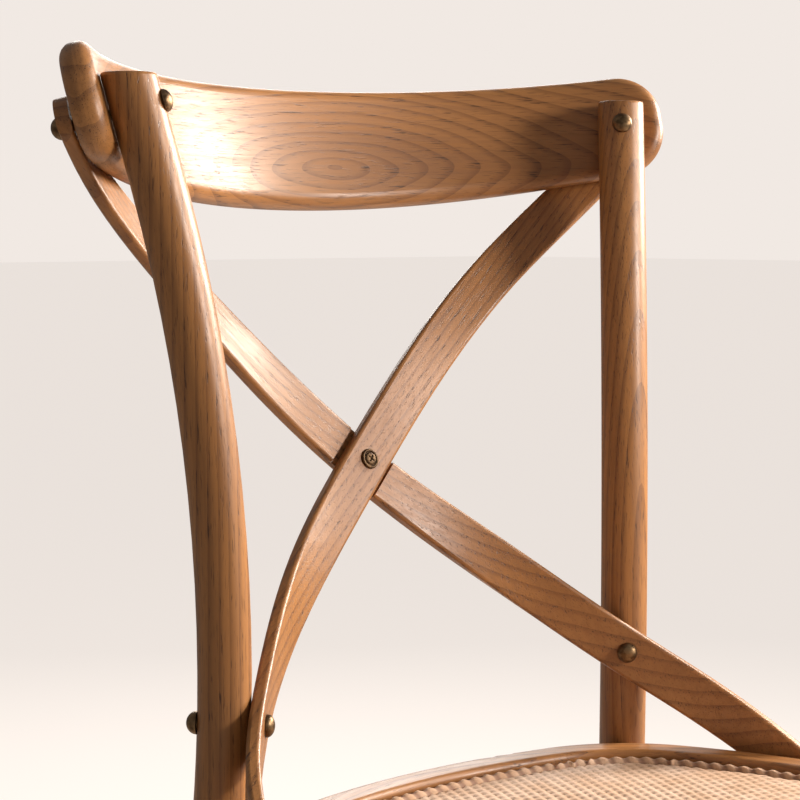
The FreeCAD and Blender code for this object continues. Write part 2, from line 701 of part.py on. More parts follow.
def seat_ring():
    """Bent hoop with a ledge for the seat panel."""
    body = doc.addObject("PartDesign::Body", "seat_ring_blank")
    outline_pad(body, "ring_hoop", 0, RING_BOTTOM, "sizes.ring_height")
    inner = mm("ring_width") + mm("ledge_width")
    outline_pad(body, "ring_opening", inner, RING_BOTTOM, "sizes.ring_height", True)
    recess = outline_pad(body, "ring_recess", mm("ring_width"), LEDGE_TOP,
                         "sizes.ring_height - sizes.ledge_height", True)
    top = mm("seat_height")
    edge = round_edges(body, recess, "ring_top", "ring_top_round", top, on_outline(0))
    edge = round_edges(body, edge, "ring_inner", "ring_inner_round", top, on_outline(mm("ring_width")))
    round_edges(body, edge, "ring_foot", "ring_bottom_round", RING_BOTTOM, on_outline(0))
    holes = []
    for side in SIDES.values():
        post = post_centre(side, mm("seat_bolt_height"))
        holes.append((post, -corner_direction(side), 3 * mm("post_diameter"), BOLT_HOLE))
        foot, foot_out = slat_route(side, 0)[1][-1]
        holes.append((foot, -foot_out, mm("slat_screw_length"), SCREW_HOLE))
        top_point = front_leg_point(side, RING_BOTTOM)
        depth = mm("tenon_length") + HOLE_LEAD + mm("touch_gap")
        holes.append((top_point - UP * HOLE_LEAD, UP, depth, TENON_HOLE))
    for point in arch_top_points():
        start = Vector(point.x, point.y, RING_BOTTOM - HOLE_LEAD)
        holes.append((start, UP, mm("arch_top_screw_depth") + HOLE_LEAD + mm("touch_gap"), SCREW_HOLE))
    for point in board_screw_points():
        holes.append((point - UP * HOLE_LEAD, UP, mm("ledge_height") + 2 * HOLE_LEAD, SCREW_HOLE))
    return drill("seat_ring", body, holes)


def board_screw_points():
    """Places under the ledge where screws hold the seat board."""
    inset = -mm("ring_width") - mm("ledge_width") / 2
    points = []
    for side in SIDES.values():
        for angle in (-mm("board_screw_angle"), mm("board_screw_angle")):
            points.append(mirrored(ring_side_point(angle, RING_BOTTOM, inset)[0], side))
    return points


def seat_panel():
    """Plywood board, woven mat with a slight crown, and a braid that hides the mat's edge."""
    inset = mm("ring_width") + mm("panel_gap")
    board = doc.addObject("PartDesign::Body", "seat_board_blank")
    outline_pad(board, "board_plate", inset, LEDGE_TOP, "sizes.board_thickness")
    depth = mm("board_screw_depth") + HOLE_LEAD + mm("touch_gap")
    holes = [(point + UP * (mm("ledge_height") - HOLE_LEAD), UP, depth, SCREW_HOLE)
             for point in board_screw_points()]
    drill("seat_board", board, holes)
    mat = doc.addObject("PartDesign::Body", "woven_seat_blank")
    mat_inset = inset + mm("braid_width") + mm("panel_gap")
    outline_pad(mat, "mat_plate", mat_inset, BOARD_TOP, "sizes.mat_thickness")
    crown = mm("mat_crown")
    reach = mm("seat_half_width") - mat_inset
    ball = doc.addObject("Part::Sphere", "mat_crown_ball")
    ball.Radius = (reach ** 2 + crown ** 2) / (2 * crown)
    middle = mm("seat_rear") - mm("seat_depth") / 2
    lowest = BOARD_TOP + mm("mat_thickness") - ball.Radius.Value
    ball.Placement = Placement(Vector(0, middle, lowest), Rotation())
    woven = doc.addObject("Part::Common", "woven_seat")
    woven.Base = mat
    woven.Tool = ball
    label(woven, "woven_seat")
    braid = doc.addObject("PartDesign::Body", "seat_braid")
    outline_pad(braid, "braid_band", inset, BOARD_TOP, "sizes.braid_height")
    hollow = outline_pad(braid, "braid_opening", inset + mm("braid_width"), BOARD_TOP,
                         "sizes.braid_height", True)
    top = BOARD_TOP + mm("braid_height")
    round_edges(braid, hollow, "braid_top", "braid_round", top, lambda edge: True)
    label(braid, "seat_braid")


# Front legs and the bent braces under the seat

def front_leg_point(side, height):
    """Point on a front leg's centre line."""
    turn = rad("front_leg_direction")
    outward = Vector(math.cos(turn), math.sin(turn), 0)
    drop = (RING_BOTTOM - height) / (RING_BOTTOM - mm("glide_height"))
    reach = mm("front_corner_radius") - mm("front_leg_inset") + mm("front_leg_splay") * drop
    point = FRONT_CORNER_CENTRE + outward * reach
    return mirrored(Vector(point.x, point.y, height), side)


def front_leg_radius(height):
    """Radius of a front leg at a height."""
    share = (height - mm("glide_height")) / (RING_BOTTOM - mm("glide_height"))
    foot = mm("front_leg_foot_diameter") / 2
    return foot + share * (mm("front_leg_top_diameter") / 2 - foot)


def leg_axis(kind, side):
    """Centre line and radius of a leg, as functions of the height."""
    if kind == "front":
        return lambda height: front_leg_point(side, height), front_leg_radius
    return lambda height: post_centre(side, height), lambda height: POST_RADIUS


def front_leg(name, side):
    """Tapered leg with a tenon that goes up into the ring."""
    body = doc.addObject("PartDesign::Body", f"{name}_blank")
    foot = front_leg_point(side, mm("glide_height"))
    top = front_leg_point(side, RING_BOTTOM)
    low = add_sketch(body, f"{name}_foot", "XY_Plane", Placement(foot, Rotation()))
    add_circle(low, "front_leg_foot_diameter")
    high = add_sketch(body, f"{name}_top", "XY_Plane", Placement(top, Rotation()))
    add_circle(high, "front_leg_top_diameter")
    taper = body.newObject("PartDesign::AdditiveLoft", f"{name}_taper")
    taper.Profile = low
    taper.Sections = [high]
    tenon_sketch = add_sketch(body, f"{name}_tenon_section", "XY_Plane", Placement(top, Rotation()))
    add_circle(tenon_sketch, "tenon_diameter")
    tenon = body.newObject("PartDesign::Pad", f"{name}_tenon")
    tenon.Profile = tenon_sketch
    tenon.setExpression("Length", "sizes.tenon_length")
    return drill(name, body, leg_holes("front", side))


def leg_holes(kind, side):
    """Holes for the brace screws and the glide's pin."""
    centre, radius = leg_axis(kind, side)
    holes = []
    for (leg_kind, leg_side), toward, height in brace_ends():
        if (leg_kind, leg_side) == (kind, side):
            start = centre(height) - toward * 2 * mm("post_diameter")
            holes.append((start, toward, 4 * mm("post_diameter"), SCREW_HOLE))
    foot = centre(mm("glide_height"))
    depth = mm("glide_pin_length") + HOLE_LEAD + mm("touch_gap")
    holes.append((foot - UP * HOLE_LEAD, UP, depth, PIN_HOLE))
    return holes


BRACES = {
    "front_arch": (("front", -1), ("front", 1), "cross_arch_height"),
    "rear_arch": (("rear", -1), ("rear", 1), "cross_arch_height"),
    "left_side_arch": (("front", -1), ("rear", -1), "side_arch_height"),
    "right_side_arch": (("front", 1), ("rear", 1), "side_arch_height"),
}
ARCH_TOP = RING_BOTTOM - mm("touch_gap") - mm("arch_diameter") / 2


def brace_direction(start, end, height):
    """Level direction from one leg to another at a height."""
    span = leg_axis(*end)[0](height) - leg_axis(*start)[0](height)
    return unit(Vector(span.x, span.y, 0))


def brace_ends():
    """Each brace end: its leg, the direction from the leg into the brace, and its screw's height."""
    ends = []
    for start, end, alias in BRACES.values():
        toward = brace_direction(start, end, mm(alias))
        ends.append((start, toward, mm(alias)))
        ends.append((end, -toward, mm(alias)))
    return ends


def brace_reach(leg):
    """Distance from a leg's centre line to the centre line of a brace beside it."""
    radius = leg_axis(*leg)[1](ARCH_TOP - mm("arch_bend_radius"))
    return radius + mm("touch_gap") + mm("arch_diameter") / 2


def brace_point(leg, toward, height):
    """Point on a brace's straight end, beside its leg."""
    return leg_axis(*leg)[0](height) + toward * brace_reach(leg)


def bent_wire(points, radius):
    """Straight runs joined by arcs that touch them."""
    edges = []
    last = points[0]
    for before, corner, after in zip(points, points[1:], points[2:]):
        into, out = unit(corner - before), unit(after - corner)
        turn = math.acos(max(-1.0, min(1.0, into.dot(out))))
        set_back = radius * math.tan(turn / 2)
        start, end = corner - into * set_back, corner + out * set_back
        middle = corner + unit(out - into) * (radius / math.cos(turn / 2) - radius)
        edges.append(Part.LineSegment(last, start).toShape())
        edges.append(Part.Arc(start, middle, end).toShape())
        last = end
    edges.append(Part.LineSegment(last, points[-1]).toShape())
    return Part.Wire(edges)


def arch_top_points():
    """Where screws go up through the front and rear braces into the ring."""
    points = []
    for name in ("front_arch", "rear_arch"):
        start, end, alias = BRACES[name]
        level = brace_point(start, brace_direction(start, end, mm(alias)), ARCH_TOP)
        for side in SIDES.values():
            points.append(Vector(side * mm("arch_top_screw_half_spacing"), level.y, ARCH_TOP))
    return points


def brace(name):
    """Round rod bent to an arch between two legs."""
    start, end, alias = BRACES[name]
    toward = brace_direction(start, end, mm(alias))
    low = mm(alias) - mm("arch_tail")
    points = [brace_point(start, toward, low), brace_point(start, toward, ARCH_TOP),
              brace_point(end, -toward, ARCH_TOP), brace_point(end, -toward, low)]
    path = doc.addObject("Part::Feature", f"{name}_path")
    path.Shape = bent_wire(points, mm("arch_bend_radius"))
    section = doc.addObject("Part::Circle", f"{name}_section")
    section.setExpression("Radius", "sizes.arch_diameter / 2")
    section.Placement = along(points[0], points[1] - points[0])
    rod = doc.addObject("Part::Sweep", f"{name}_rod")
    rod.Sections = [section]
    rod.Spine = (path, [f"Edge{number}" for number in range(1, len(path.Shape.Edges) + 1)])
    rod.Solid = True
    doc.recompute()
    check_sweep(rod.Shape, math.pi * mm("arch_diameter") ** 2 / 4, path.Shape.Length)
    holes = []
    for leg, leg_toward in ((start, toward), (end, -toward)):
        surface = brace_point(leg, leg_toward, mm(alias)) - leg_toward * mm("arch_diameter")
        depth = mm("arch_diameter") / 2 + mm("arch_screw_depth") + mm("touch_gap")
        holes.append((surface, leg_toward, depth, SCREW_HOLE))
    for point in arch_top_points():
        if abs(point.y - points[1].y) < mm("arch_diameter") and name in ("front_arch", "rear_arch"):
            holes.append((point - UP * mm("arch_diameter"), UP, 2 * mm("arch_diameter"), SCREW_HOLE))
    return drill(name, rod, holes)


# Fasteners: one turned master each, copied to its places

def turned(name, shank, head_radius, head_height, bore=""):
    """Domed head above the master's XY plane, with a shank below it or a bore up into it."""
    head = doc.addObject("Part::Ellipsoid", f"{name}_head")
    head.setExpression("Radius1", head_height)
    head.setExpression("Radius2", head_radius)
    head.Angle1 = 0
    other = doc.addObject("Part::Cylinder", f"{name}_stem")
    master = doc.addObject("Part::Cut" if bore else "Part::Fuse", f"{name}_master")
    if bore:
        other.setExpression("Radius", bore)
        other.setExpression("Height", "sizes.nut_bore_depth")
    else:
        radius, length = shank
        other.setExpression("Radius", radius)
        other.Height = length
        other.Placement = Placement(Vector(0, 0, -length), Rotation())
    master.Base = head
    master.Tool = other
    return master


def group(name, placed):
    """One node that holds copies of masters at their placements."""
    doc.recompute()
    copies = []
    for master, placement in placed:
        copy = master.Shape.copy()
        copy.Placement = placement
        copies.append(copy)
    feature = doc.addObject("Part::Feature", name)
    feature.Shape = Part.makeCompound(copies)
    return label(feature, name)


def screws(name, places):
    """Group of wood screws. A place is the point under the head, the direction in and the length."""
    masters = {}
    placed = []
    for point, direction, length in places:
        key = round(length, 3)
        if key not in masters:
            masters[key] = turned(f"{name}_{len(masters) + 1}", ("sizes.screw_diameter / 2", length),
                                  "sizes.screw_head_diameter / 2", "sizes.screw_head_height")
        placed.append((masters[key], along(point, -direction)))
    group(name, placed)


def lean_gap(head):
    """How far a level fastener's head stands off a leaning leg."""
    return mm(head) / 2 * math.tan(rad("leg_lean"))


def bolt_pairs():
    """Bolts and cap nuts of the crest and of the slats' lower crossings with the posts."""
    seat = mm("hole_gap") / 2
    nut = turned("cap_nut", None, "sizes.bolt_head_diameter / 2", "sizes.nut_height",
                 "sizes.bolt_diameter / 2 + sizes.hole_gap")
    stacks = (
        ("crest", CREST, POST_RADIUS + seat, SLAT_CREST + mm("slat_thickness") / 2 + seat),
        ("slat_post", mm("slat_bolt_height"), SLAT_FACE + mm("slat_thickness") / 2 + mm("slat_head_gap"),
         POST_RADIUS + seat),
    )
    for name, height, inner, outer in stacks:
        bolt = turned(f"{name}_bolt", ("sizes.bolt_diameter / 2", inner + outer + mm("bolt_grip")),
                      "sizes.bolt_head_diameter / 2", "sizes.bolt_head_height")
        bolts, nuts = [], []
        for side in SIDES.values():
            centre = post_centre(side, height)
            outward = crest_outward(side) if height == CREST else post_outward(side, height)
            bolts.append((bolt, along(centre - outward * inner, -outward)))
            nuts.append((nut, along(centre + outward * outer, outward)))
        group(f"{name}_bolts", bolts)
        group(f"{name}_nuts", nuts)


def seat_bolts():
    """Bolts through the posts into the ring, with washers and hexagon nuts under the seat."""
    height = mm("seat_bolt_height")
    seat = mm("hole_gap")
    inner_face = mm("corner_radius") - mm("ring_width") - mm("ledge_width")
    centre = post_centre(1, height)
    reach = (Vector(centre.x, centre.y, 0) - CORNER_CENTRE).Length
    washer_face = inner_face - 2 * seat
    nut_face = washer_face - mm("washer_thickness") - mm("hole_gap") / 2
    nut_end = nut_face - mm("hex_nut_height")
    head_face = reach + POST_RADIUS + seat + lean_gap("bolt_head_diameter")
    bolt = turned("seat_bolt", ("sizes.bolt_diameter / 2", head_face - nut_end + mm("seat_bolt_tail")),
                  "sizes.bolt_head_diameter / 2", "sizes.bolt_head_height")
    washer = ringed("washer", "Part::Cylinder", "sizes.washer_thickness")
    washer.Base.setExpression("Radius", "sizes.washer_diameter / 2")
    nut = ringed("hex_nut", "Part::Prism", "sizes.hex_nut_height")
    nut.Base.setExpression("Circumradius", "sizes.hex_nut_width / sqrt(3)")
    bolts, washers, nuts = [], [], []
    for side in SIDES.values():
        outward = corner_direction(side)
        axis = mirrored(CORNER_CENTRE, side) + UP * height
        bolts.append((bolt, along(axis + outward * head_face, outward)))
        washers.append((washer, along(axis + outward * washer_face, -outward)))
        nuts.append((nut, along(axis + outward * nut_face, -outward)))
    group("post_seat_bolts", bolts)
    group("post_seat_washers", washers)
    group("post_seat_nuts", nuts)


def ringed(name, kind, height):
    """Disc or prism with the bolt's hole through it."""
    blank = doc.addObject(kind, f"{name}_disc")
    blank.setExpression("Height", height)
    hole = doc.addObject("Part::Cylinder", f"{name}_hole")
    hole.setExpression("Radius", "sizes.bolt_diameter / 2 + sizes.hole_gap")
    hole.setExpression("Height", height)
    master = doc.addObject("Part::Cut", f"{name}_master")
    master.Base = blank
    master.Tool = hole
    return master


def crossing_fasteners():
    """Screw and sleeve nut that hold the slats together where they cross."""
    middle, back = crossing_axis()
    half_stack = slat_shift() + mm("slat_thickness") / 2 + mm("hole_gap") / 2
    screw = flat_head("crossing_screw", "sizes.screw_diameter / 2", half_stack)
    group("crossing_screw", [(screw, along(middle - back * half_stack, -back))])
    sleeve_length = 2 * half_stack - mm("touch_gap")
    sleeve = flat_head("crossing_sleeve_nut", "sizes.sleeve_diameter / 2", sleeve_length)
    bore = doc.addObject("Part::Cylinder", "crossing_sleeve_bore")
    bore.setExpression("Radius", "sizes.screw_diameter / 2 + sizes.hole_gap")
    bore.Height = sleeve_length
    bore.Placement = Placement(Vector(0, 0, -sleeve_length), Rotation())
    nut = doc.addObject("Part::Cut", "crossing_sleeve_bored")
    nut.Base = sleeve
    nut.Tool = bore
    group("crossing_sleeve_nut", [(nut, along(middle + back * half_stack, back))])


def flat_head(name, shank_radius, length):
    """Low round head above the XY plane on a shank below it."""
    head = doc.addObject("Part::Cone", f"{name}_head")
    head.setExpression("Radius1", "sizes.bolt_head_diameter / 2")
    head.setExpression("Radius2", "sizes.cross_head_top / 2")
    head.setExpression("Height", "sizes.cross_head_height")
    shank = doc.addObject("Part::Cylinder", f"{name}_shank")
    shank.setExpression("Radius", shank_radius)
    shank.Height = length
    shank.Placement = Placement(Vector(0, 0, -length), Rotation())
    master = doc.addObject("Part::Fuse", f"{name}_master")
    master.Base = head
    master.Tool = shank
    return master


def wood_screws():
    """Screws at the slats' lower ends, in the braces, in the seat board and through the legs."""
    seat = mm("hole_gap") / 2
    places = []
    for side in SIDES.values():
        foot, foot_out = slat_route(side, 0)[1][-1]
        head = foot + foot_out * (mm("slat_thickness") / 2 + seat)
        places.append((head, -foot_out, mm("slat_screw_length")))
    screws("slat_end_screws", places)
    places = []
    for leg, toward, height in brace_ends():
        centre, radius = leg_axis(*leg)
        head_face = radius(height) + mm("hole_gap") + lean_gap("screw_head_diameter")
        tip = brace_reach(leg) - mm("arch_diameter") / 2 + mm("arch_screw_depth")
        places.append((centre(height) - toward * head_face, toward, head_face + tip))
    screws("brace_end_screws", places)
    below = mm("arch_diameter") / 2 + seat
    reach = below + mm("arch_diameter") / 2 + mm("touch_gap") + mm("arch_top_screw_depth")
    screws("brace_top_screws", [(point - UP * below, UP, reach) for point in arch_top_points()])
    reach = seat + mm("ledge_height") + mm("board_screw_depth")
    screws("seat_board_screws", [(point - UP * seat, UP, reach) for point in board_screw_points()])


def foot_glides():
    """Plastic glide with a pin under each foot."""
    disc = doc.addObject("Part::Cylinder", "glide_disc")
    disc.setExpression("Radius", "sizes.glide_diameter / 2")
    disc.setExpression("Height", "sizes.glide_height")
    pin = doc.addObject("Part::Cylinder", "glide_pin")
    pin.setExpression("Radius", "sizes.glide_pin_diameter / 2")
    pin.setExpression("Height", "sizes.glide_height + sizes.glide_pin_length")
    master = doc.addObject("Part::Fuse", "glide_master")
    master.Base = disc
    master.Tool = pin
    places = []
    for kind in ("front", "rear"):
        for side in SIDES.values():
            foot = leg_axis(kind, side)[0](mm("glide_height"))
            places.append((master, Placement(Vector(foot.x, foot.y, 0), Rotation())))
    group("foot_glides", places)


def back_post(name, side):
    """Post with its bolt, screw and pin holes."""
    blank = post_blank(name, side)
    reach = mm("post_diameter")
    holes = leg_holes("rear", side)
    bolts = (
        (CREST, crest_outward(side)),
        (mm("slat_bolt_height"), post_outward(side, mm("slat_bolt_height"))),
        (mm("seat_bolt_height"), corner_direction(side)),
    )
    for height, outward in bolts:
        holes.append((post_centre(side, height) - outward * reach, outward, 2 * reach, BOLT_HOLE))
    return drill(name, blank, holes)


def check(obj):
    """Stops when an object has failed or a pocket has cut nothing."""
    bad = [state for state in obj.State if state in ("Invalid", "Error")]
    if bad:
        raise RuntimeError(f"{obj.Name} has failed: {bad}")
    if obj.TypeId == "PartDesign::Pocket" and obj.Shape.Volume >= obj.BaseFeature.Shape.Volume:
        raise RuntimeError(f"{obj.Name} has cut nothing")


def build():
    """Makes every sub-part."""
    for name, side in SIDES.items():
        back_post(f"{name}_back_post", side)
        front_leg(f"{name}_front_leg", side)
    crest_rail()
    cross_slat("rear_slat", 1, slat_shift())
    cross_slat("front_slat", -1, -slat_shift())
    seat_ring()
    seat_panel()
    for name in BRACES:
        brace(name)
    bolt_pairs()
    seat_bolts()
    crossing_fasteners()
    wood_screws()
    foot_glides()


build()
doc.recompute()
for obj in doc.Objects:
    check(obj)
os.makedirs("parts", exist_ok=True)
for node in nodes:
    if node.Shape.isNull() or not node.Shape.isValid():
        raise RuntimeError(f"{node.Label} has no valid shape")
    node.Shape.exportStep(f"parts/{node.Label}.step")
    box = node.Shape.BoundBox
    print(f"{node.Label}: {len(node.Shape.Solids)} solids, {node.Shape.Volume / 1000:.2f} cm3, "
          f"{box.XMin:.1f} to {box.XMax:.1f}, {box.YMin:.1f} to {box.YMax:.1f}, "
          f"{box.ZMin:.1f} to {box.ZMax:.1f}")
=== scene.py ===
"""Cross back chair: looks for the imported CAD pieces, with a woven mat and a braid of their own."""
import math

import bpy
import numpy as np
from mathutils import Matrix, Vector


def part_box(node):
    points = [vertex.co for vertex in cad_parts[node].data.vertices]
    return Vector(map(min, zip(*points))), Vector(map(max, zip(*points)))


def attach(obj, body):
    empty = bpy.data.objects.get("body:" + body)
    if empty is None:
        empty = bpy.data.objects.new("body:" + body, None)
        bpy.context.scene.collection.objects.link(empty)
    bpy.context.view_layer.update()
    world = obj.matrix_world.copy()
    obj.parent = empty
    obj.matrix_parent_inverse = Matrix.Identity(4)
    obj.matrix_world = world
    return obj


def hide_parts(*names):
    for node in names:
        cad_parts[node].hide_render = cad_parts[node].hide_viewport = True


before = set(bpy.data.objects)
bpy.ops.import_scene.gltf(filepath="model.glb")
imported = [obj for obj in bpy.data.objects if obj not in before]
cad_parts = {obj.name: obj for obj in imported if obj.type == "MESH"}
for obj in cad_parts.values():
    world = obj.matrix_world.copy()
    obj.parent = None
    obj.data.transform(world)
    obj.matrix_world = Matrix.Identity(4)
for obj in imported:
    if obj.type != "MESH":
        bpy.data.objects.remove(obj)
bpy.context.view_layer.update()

# Lengths are in metres and angles in radians.
MM = 0.001
FULL_TURN = 2 * math.pi

# Middles of the seat's hoop and of the rail's curve, seen from above, and the radii at which their grain
# has its real scale.
SEAT_CENTRE = (0.0, -0.0626)
HOOP_RADIUS = 0.20
RAIL_CENTRE = (0.0, -0.035)
RAIL_RADIUS = 0.30

# Turns about Y that bring the grain onto an upright piece and onto each slat.
UPRIGHT_TURN = math.pi / 2
FRONT_SLAT_TURN = 0.75
REAR_SLAT_TURN = 2.39

# Width of a growth ring, how far the wave texture turns over one unit of its scale, and the middle of the
# rings in both slats.
RING_WIDTH = 0.005712
WAVE_TURN = 20.0
SLAT_HEART = (0.0, 0.13, 0.05)

# Cells in a metre along and across the grain, and the noise's detail. Pores are 13 by 0.8 mm, fibres
# 70 by 2.6 mm and patches of tone 330 by 60 mm.
PORES = (75.0, 1300.0, 2.0)
FIBRES = (14.0, 380.0, 4.0)
TONES = (3.0, 16.0, 2.0)
LATE_WOOD = "#5A341C"
PORE_BROWN = "#2B170B"

# Woven fibre's strands in a metre along X, Y and Z, the finest 0.7 mm wide, and its patches of tone, 22 mm
# wide.
STRANDS = (260.0, 1500.0, 600.0)
FIBRE_PATCHES = 45.0

# Scuffs on metal and plastic are this many times finer than the patches of tone.
SCUFFS_TO_A_PATCH = 6.0

# Edge points of a seat piece lie within a tolerance of its lowest plane. Outer ones lie within the scatter
# of the outermost point in their bin of turns, and inner ones lie at least a band's width further in.
LEVEL_TOLERANCE = 1e-5
EDGE_SCATTER = 0.003
BIN_TURN = 0.02
LEAST_BAND = 0.004

# Woven mat. A slit's half sizes along and across its row are shares of the pitch, the crown's fall is a
# share of the height, and the innermost ring is a share of the outer edge.
WEAVE_PITCH = 0.0072
WEAVE_DEPTH = 0.0014
SLIT_ALONG = 0.17
SLIT_ACROSS = 0.24
STRAND_SWELL = 0.0005
CROWN_MARGIN = 0.0006
CROWN_FALL = 0.36
MAT_COLUMNS = 660
MAT_RINGS = 118
MAT_MIDDLE = 0.004

# Braid. The bump and the groove's depth are shares of its height. The groove's width and the shoulder, over
# which the arch stays level at each edge, are shares of its width. The lean is how far a bump would run on
# over the whole width, in pitches.
BRAID_PITCH = 0.0095
BRAID_COLUMNS = 1400
BRAID_RINGS = 13
BRAID_SHOULDER = 0.04
BRAID_ROUNDNESS = 0.45
BRAID_BUMP = 0.12
BRAID_LEAN = 0.9
GROOVE_WIDTH = 0.07
GROOVE_DEPTH = 0.08

# Screw where the slats cross: its middle on the front slat's face and the way that it looks. In
# millimetres, the outline of the cup washer and of the head's edge, as radius and height, and then the
# dome's radii and its heights at its edge and in its middle.
SCREW_SEAT = (0.0, 0.17916, 0.65338)
SCREW_OUT = (0.0, -0.943, 0.333)
SCREW_COLUMNS = 96
CUP_OUTLINE = [(6.3, 0.0), (6.4, 0.5), (6.2, 1.2), (5.7, 1.6), (5.1, 1.5), (4.6, 1.2), (4.3, 0.9),
               (4.1, 0.9), (3.9, 1.6), (3.5, 1.85), (3.0, 2.0), (2.6, 2.08)]
DOME_RADII = [2.4, 2.2, 1.9, 1.6, 1.3, 1.0, 0.8, 0.65, 0.5, 0.35, 0.2, 0.02]
DOME_RISE = (2.12, 2.3)
RECESS_HALF_WIDTH = 0.0005
RECESS_REACH = 0.0025
RECESS_DEPTH = 0.0012

# Floor, sky and camera. The floor's patches are counted in a metre.
BACKGROUND = "#F1E9E3"
FLOOR_REACH = 40.0
FLOOR_GLOW = 0.85
FLOOR_PATCHES = 3.0
SKY_STRENGTH = 0.27
CAMERA_PLACE = (-0.8809, -0.8039, 0.7972)
CAMERA_FALL = 0.081
CAMERA_TURN = -0.745
LENS = 96.27
SENSOR_WIDTH = 36.0

# Setting of a map range whose ends are soft.
SOFT = {"interpolation_type": "SMOOTHSTEP"}


def linear(code):
    """Scene-linear colour of an sRGB hex code."""
    parts = [int(code[i:i + 2], 16) / 255 for i in (1, 3, 5)]
    parts = [part / 12.92 if part <= 0.04045 else ((part + 0.055) / 1.055) ** 2.4 for part in parts]
    return (*parts, 1.0)


def new_material(name):
    """Empty material, its node tree and its shader."""
    made = bpy.data.materials.new(name)
    made.use_nodes = True
    return made, made.node_tree, made.node_tree.nodes["Principled BSDF"]


def fill(tree, node, sockets):
    """Sets or links a node's sockets."""
    for key, value in sockets.items():
        if isinstance(value, bpy.types.NodeSocket):
            tree.links.new(value, node.inputs[key])
        else:
            node.inputs[key].default_value = value


def add(tree, kind, sockets, output=0, **settings):
    """Adds a shader node with its properties and sockets, and gives one of its outputs."""
    made = tree.nodes.new(f"ShaderNode{kind}")
    for key, value in settings.items():
        setattr(made, key, value)
    fill(tree, made, sockets)
    return made.outputs[output]


def layered(tree, base, layers):
    """Colour of a base under layers of other colours, each with its share."""
    colour = linear(base)
    for share, code in layers:
        colour = add(tree, "Mix", {0: share, 6: colour, 7: linear(code)}, 2, data_type="RGBA")
    return colour


def turned_grain(tree, turn):
    """Coordinates whose X runs along a straight piece."""
    place = add(tree, "TexCoord", {}, "Object")
    return add(tree, "Mapping", {"Vector": place, "Rotation": (0.0, turn, 0.0)})


def hoop_grain(tree, centre, radius):
    """Coordinates whose X runs round an upright axis."""
    place = add(tree, "TexCoord", {}, "Object")
    shifted = add(tree, "VectorMath", {0: place, 1: (*centre, 0.0)}, operation="SUBTRACT")
    parts = add(tree, "SeparateXYZ", {"Vector": shifted}).node.outputs
    angle = add(tree, "Math", {0: parts["X"], 1: parts["Y"]}, operation="ARCTAN2")
    around = add(tree, "Math", {0: angle, 1: radius}, operation="MULTIPLY")
    flat = add(tree, "CombineXYZ", {"X": parts["X"], "Y": parts["Y"]})
    length = add(tree, "VectorMath", {0: flat}, "Value", operation="LENGTH")
    return add(tree, "CombineXYZ", {"X": around, "Y": length, "Z": parts["Z"]})


def wood(name, grain, heart, stretch=0.11, axis="X", waver=2.2, light="#B67F49", dark="#774A25"):
    """Satin lacquered open pored wood: growth rings, short dark pores and slow changes of tone.

    The heart is the middle of the rings, and the stretch draws them out along the grain.
    """
    made, tree, shader = new_material(name)
    vector = grain(tree)
    drawn_out = add(tree, "Mapping", {"Vector": vector, "Scale": (stretch, 1.0, 1.0), "Location": heart})
    rings = add(tree, "TexWave", {"Vector": drawn_out, "Scale": FULL_TURN / WAVE_TURN / RING_WIDTH,
                                  "Distortion": waver, "Detail": 2.0, "Detail Scale": 0.35},
                "Fac", wave_type="RINGS", rings_direction=axis, wave_profile="SAW")
    noises = []
    for along, across, detail in (PORES, FIBRES, TONES):
        cells = add(tree, "Mapping", {"Vector": vector, "Scale": (along, across, across)})
        noises.append(add(tree, "TexNoise", {"Vector": cells, "Scale": 1.0, "Detail": detail}, "Fac"))
    pores, fibre, tone = noises
    late = add(tree, "MapRange", {"Value": rings, "From Min": 0.5}, **SOFT)
    fade = add(tree, "MapRange", {"Value": rings, "From Min": 0.2, "To Min": 0.35}, **SOFT)
    streak = add(tree, "MapRange", {"Value": pores, "From Min": 0.57, "From Max": 0.68}, **SOFT)
    late_streak = add(tree, "Math", {0: streak, 1: fade}, operation="MULTIPLY")
    colour = layered(tree, light, [
        (add(tree, "MapRange", {"Value": tone, "From Min": 0.3, "From Max": 0.7, "To Max": 0.55}, **SOFT),
         dark),
        (add(tree, "MapRange", {"Value": fibre, "From Min": 0.35, "From Max": 0.75, "To Max": 0.30}, **SOFT),
         dark),
        (add(tree, "Math", {0: late, 1: 0.42}, operation="MULTIPLY"), LATE_WOOD),
        (add(tree, "Math", {0: late_streak, 1: 0.75}, operation="MULTIPLY"), PORE_BROWN),
    ])
    ridges = add(tree, "Math", {0: fibre, 1: 0.35}, operation="MULTIPLY")
    height = add(tree, "Math", {0: ridges, 1: late_streak}, operation="SUBTRACT")
    fill(tree, shader, {
        "Base Color": colour,
        "Normal": add(tree, "Bump", {"Height": height, "Strength": 0.35, "Distance": 0.0003}),
        "Roughness": add(tree, "MapRange", {"Value": fibre, "From Min": 0.2, "From Max": 0.8, "To Min": 0.34,
                                            "To Max": 0.48}, **SOFT),
        "Coat Weight": 0.12,
        "Coat Roughness": 0.3,
    })
    return made


